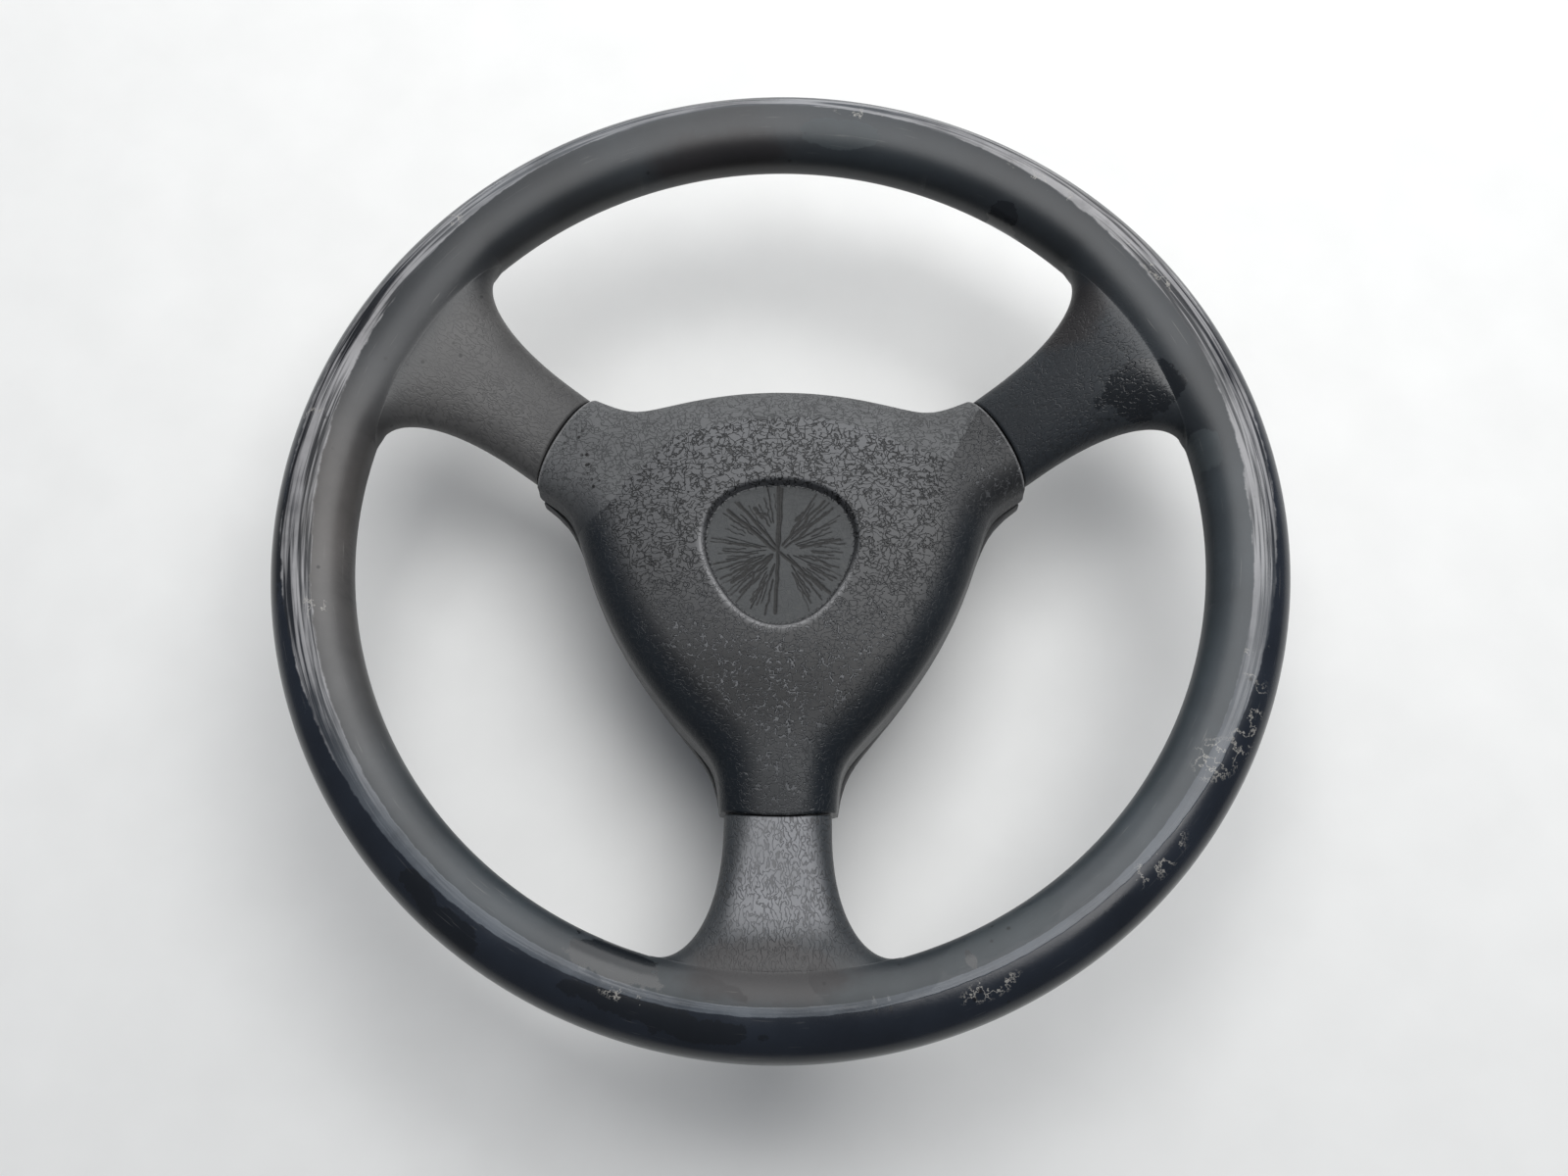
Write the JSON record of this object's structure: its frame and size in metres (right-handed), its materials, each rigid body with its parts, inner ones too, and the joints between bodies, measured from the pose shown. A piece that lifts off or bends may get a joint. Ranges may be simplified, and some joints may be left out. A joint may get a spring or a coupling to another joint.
{
  "type": "car steering wheel",
  "caption": "Round steering wheel with a foam grip, dished spokes, a wide soft horn pad with an empty emblem recess, and a moulded cover behind the hub.",
  "frame": {"origin": "on the steering axis, at the rear face of the hub's steel boss, which is the inner end of the column bore", "axes": "+Z along the steering axis towards the driver, +Y to 12 o'clock, +X to the driver's right"},
  "size_m": [0.3798, 0.3795, 0.0972],
  "materials": {
    "grip_foam": "worn satin skin with fine grain",
    "pad_skin": "leather grain with a dusty film",
    "cover_plastic": "fine moulded grain",
    "ring_steel": "drawn bar",
    "cast_frame": "die-cast",
    "boss_steel": "turned, oiled",
    "plate_steel": "pressed, zinc plated",
    "screw_steel": "zinc plated",
    "spring_steel": "drawn wire",
    "contact_brass": "dull",
    "insulator": "moulded phenolic",
    "nylon": "moulded nylon"
  },
  "bodies": {
    "wheel": {"rim_grip": "grip_foam", "rim_core": "ring_steel", "spoke_frame": "cast_frame", "hub_boss": "boss_steel", "cancel_cam": "nylon", "slip_ring_base": "insulator", "slip_ring": "contact_brass", "slip_ring_screws": "screw_steel", "feed_sleeve": "nylon", "feed_stud": "contact_brass", "contact_base": "insulator", "contact_ring": "contact_brass", "guide_screws": "screw_steel", "spring_seats": "nylon", "horn_spring_1": "spring_steel", "horn_spring_2": "spring_steel", "horn_spring_3": "spring_steel", "rear_cover": "cover_plastic", "cover_screws": "screw_steel"},
    "pad": {"horn_pad": "pad_skin", "horn_plate": "plate_steel", "guide_bush_1": "nylon", "guide_bush_2": "nylon", "guide_bush_3": "nylon", "contact_rivets": "contact_brass", "plate_screws": "screw_steel"}
  },
  "joints": [
    {"name": "horn_press", "type": "slide", "parent": "wheel", "child": "pad", "axis": [0, 0, 1], "range_m": [-0.0018, 0], "stiffness_N_per_m": 6000, "springref_m": 0.003, "deforming": ["horn_spring_1", "horn_spring_2", "horn_spring_3"]}
  ]
}
